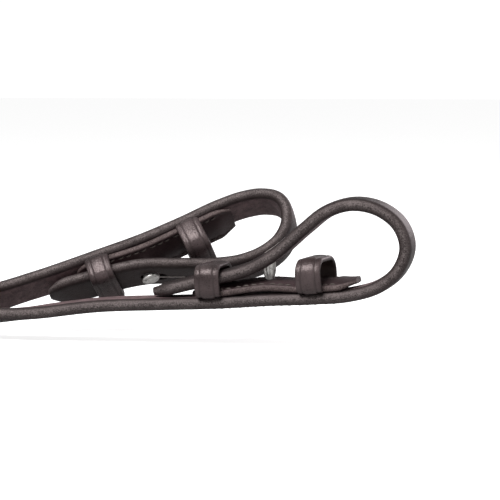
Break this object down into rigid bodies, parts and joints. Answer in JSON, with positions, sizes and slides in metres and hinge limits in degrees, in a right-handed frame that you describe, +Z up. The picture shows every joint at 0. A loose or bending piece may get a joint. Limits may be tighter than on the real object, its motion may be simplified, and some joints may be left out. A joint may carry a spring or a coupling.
{
  "type": "leather reins",
  "caption": "Pair of dark leather riding reins with hook-stud bit ends, coiled, joined by a small buckle.",
  "frame": {"origin": "on the floor, in the middle of the footprint of the whole", "axes": "+X along the bit ends towards the bit, +Y across the straps away from the front rein's near edge, +Z up from the flat coil's underside"},
  "size_m": [0.3382, 0.156, 0.0588],
  "materials": {
    "strap_leather": "waxed bridle leather, satin",
    "lay_leather": "waxed bridle leather, satin",
    "keeper_leather": "waxed bridle leather, satin",
    "stud_steel": "nickel-plated, worn",
    "buckle_steel": "nickel-plated",
    "thread": "waxed linen thread"
  },
  "bodies": {
    "wound_straps": {"front_strap": "strap_leather", "rear_strap": "strap_leather", "buckle_keeper": "keeper_leather", "buckle_stitching": "thread"},
    "front_bit_end": {"front_bit_end_strap": "strap_leather", "front_lay": "lay_leather", "front_hook_stud": "stud_steel", "front_billet_keeper": "keeper_leather", "front_stud_keeper": "keeper_leather", "front_lay_stitching": "thread"},
    "front_billet_return": {"front_billet": "strap_leather"},
    "rear_bit_end": {"rear_bit_end_strap": "strap_leather", "rear_lay": "lay_leather", "rear_hook_stud": "stud_steel", "rear_billet_keeper": "keeper_leather", "rear_stud_keeper": "keeper_leather", "rear_lay_stitching": "thread"},
    "rear_billet_return": {"rear_billet": "strap_leather"},
    "buckle": {"buckle_frame": "buckle_steel"},
    "tongue": {"buckle_tongue": "buckle_steel"},
    "runner": {"loose_runner": "keeper_leather"}
  },
  "joints": [
    {"name": "front_bit_end_flex", "type": "hinge", "parent": "wound_straps", "child": "front_bit_end", "pos_m": [0.04855, -0.0678, 0.0144], "axis": [0, -1, 0], "range_deg": [-3, 16], "stiffness_Nm_per_rad": 12},
    {"name": "front_billet_slide", "type": "slide", "parent": "front_bit_end", "child": "front_billet_return", "axis": [-0.9976, 0, -0.0698], "range_m": [0, 0.003], "stiffness_N_per_m": 4000},
    {"name": "rear_bit_end_flex", "type": "hinge", "parent": "wound_straps", "child": "rear_bit_end", "pos_m": [0.01355, -0.04778, 0.01894], "axis": [0, -0.8191, 0.5736], "range_deg": [-1, 14], "stiffness_Nm_per_rad": 12},
    {"name": "rear_billet_slide", "type": "slide", "parent": "rear_bit_end", "child": "rear_billet_return", "axis": [-0.9563, -0.1677, -0.2395], "range_m": [0, 0.003], "stiffness_N_per_m": 4000},
    {"name": "buckle_swing", "type": "hinge", "parent": "wound_straps", "child": "buckle", "pos_m": [-0.09591, 0.00551, 0.0095], "axis": [0, 0, 1], "range_deg": [0, 5]},
    {"name": "tongue_lift", "type": "hinge", "parent": "buckle", "child": "tongue", "pos_m": [-0.09591, 0.00551, 0.0095], "axis": [0, 0, 1], "range_deg": [0, 12]},
    {"name": "runner_slide", "type": "slide", "parent": "wound_straps", "child": "runner", "axis": [-0.385, 0.9229, 0], "range_m": [-0.0008, 0.0008]}
  ]
}
